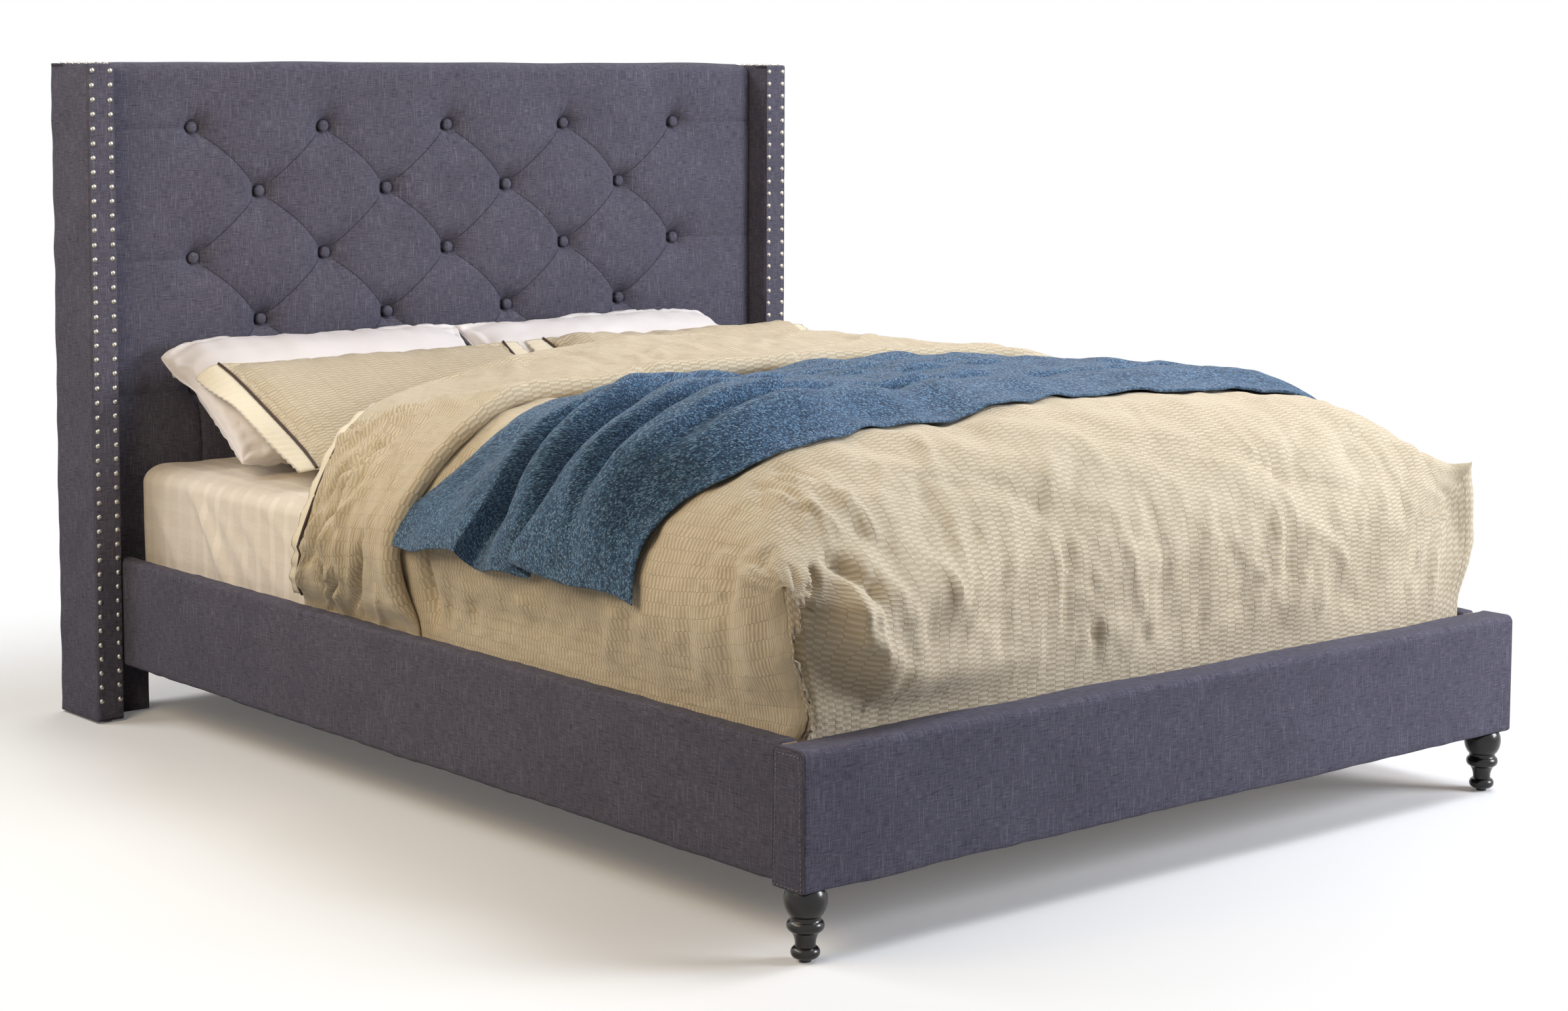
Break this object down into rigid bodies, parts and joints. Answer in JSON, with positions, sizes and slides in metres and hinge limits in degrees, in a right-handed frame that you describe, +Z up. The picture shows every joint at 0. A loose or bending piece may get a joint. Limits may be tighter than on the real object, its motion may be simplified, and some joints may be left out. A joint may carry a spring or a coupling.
{
  "type": "wingback bed",
  "caption": "Queen-size upholstered wingback bed: button-tufted headboard, nailhead wings, low footboard on turned legs, slat base, made up with mattress, comforter, throw and pillows.",
  "frame": {"origin": "on the floor, in the middle of the bed's outline seen from above", "axes": "+X to the right seen from the foot of the bed, +Y from the footboard to the headboard, +Z up"},
  "size_m": [1.756, 2.234, 1.295],
  "materials": {
    "slate_linen": "woven linen-look upholstery, slate blue-grey",
    "dust_cloth": "black non-woven backing",
    "pine": "planed softwood",
    "plywood": "plywood",
    "black_lacquer": "gloss black lacquer on turned wood",
    "black_steel": "black powder coat",
    "zinc_steel": "zinc plated",
    "nickel_nail": "polished nickel",
    "nylon": "black nylon",
    "ticking": "mattress ticking",
    "white_cotton": "white cotton",
    "sand_seersucker": "sand check seersucker",
    "blue_knit": "blue nubby knit"
  },
  "bodies": {
    "bed": {"beam_hanger_screws": "zinc_steel", "beam_hangers": "black_steel", "centre_beam": "pine", "centre_leg_bolts": "zinc_steel", "centre_legs": "pine", "comforter": "sand_seersucker", "fitted_sheet": "white_cotton", "foot_bracket_bolts": "zinc_steel", "foot_brackets": "black_steel", "footboard_back_board": "plywood", "footboard_bars": "pine", "footboard_cover": "slate_linen", "footboard_end_blocks": "pine", "footboard_front_board": "plywood", "front_leg_glides": "nylon", "front_leg_left": "black_lacquer", "front_leg_right": "black_lacquer", "head_bracket_bolts": "zinc_steel", "head_brackets": "black_steel", "headboard_back_cloth": "dust_cloth", "headboard_base_board": "plywood", "headboard_base_cover": "slate_linen", "headboard_board": "plywood", "headboard_crossbars": "pine", "headboard_leg_blocks": "pine", "headboard_leg_glides": "nylon", "headboard_leg_sleeves": "slate_linen", "headboard_pad": "slate_linen", "headboard_stiles": "pine", "ledger_screws": "zinc_steel", "leg_hanger_bolts": "zinc_steel", "leg_plates": "zinc_steel", "leveller_inserts": "zinc_steel", "mattress": "ticking", "pillow_left": "white_cotton", "pillow_right": "white_cotton", "sham_left": "sand_seersucker", "sham_right": "sand_seersucker", "side_rail_board_left": "pine", "side_rail_board_right": "pine", "side_rail_cover_left": "slate_linen", "side_rail_cover_right": "slate_linen", "slat_ledger_left": "pine", "slat_ledger_right": "pine", "slat_screws": "zinc_steel", "slats": "pine", "throw": "blue_knit", "tuft_buttons": "slate_linen", "wing_bolts": "zinc_steel", "wing_core_left": "pine", "wing_core_right": "pine", "wing_cover_left": "slate_linen", "wing_cover_right": "slate_linen", "wing_glides": "nylon", "wing_nailheads_left": "nickel_nail", "wing_nailheads_right": "nickel_nail"},
    "leveller_1": {"levelling_foot_1": "nylon"},
    "leveller_2": {"levelling_foot_2": "nylon"},
    "leveller_3": {"levelling_foot_3": "nylon"}
  },
  "joints": [
    {"name": "leveller_1_height", "type": "slide", "parent": "bed", "child": "leveller_1", "axis": [0, 0, 1], "range_m": [-0.01, 0.012]},
    {"name": "leveller_2_height", "type": "slide", "parent": "bed", "child": "leveller_2", "axis": [0, 0, 1], "range_m": [-0.01, 0.012]},
    {"name": "leveller_3_height", "type": "slide", "parent": "bed", "child": "leveller_3", "axis": [0, 0, 1], "range_m": [-0.01, 0.012]}
  ]
}
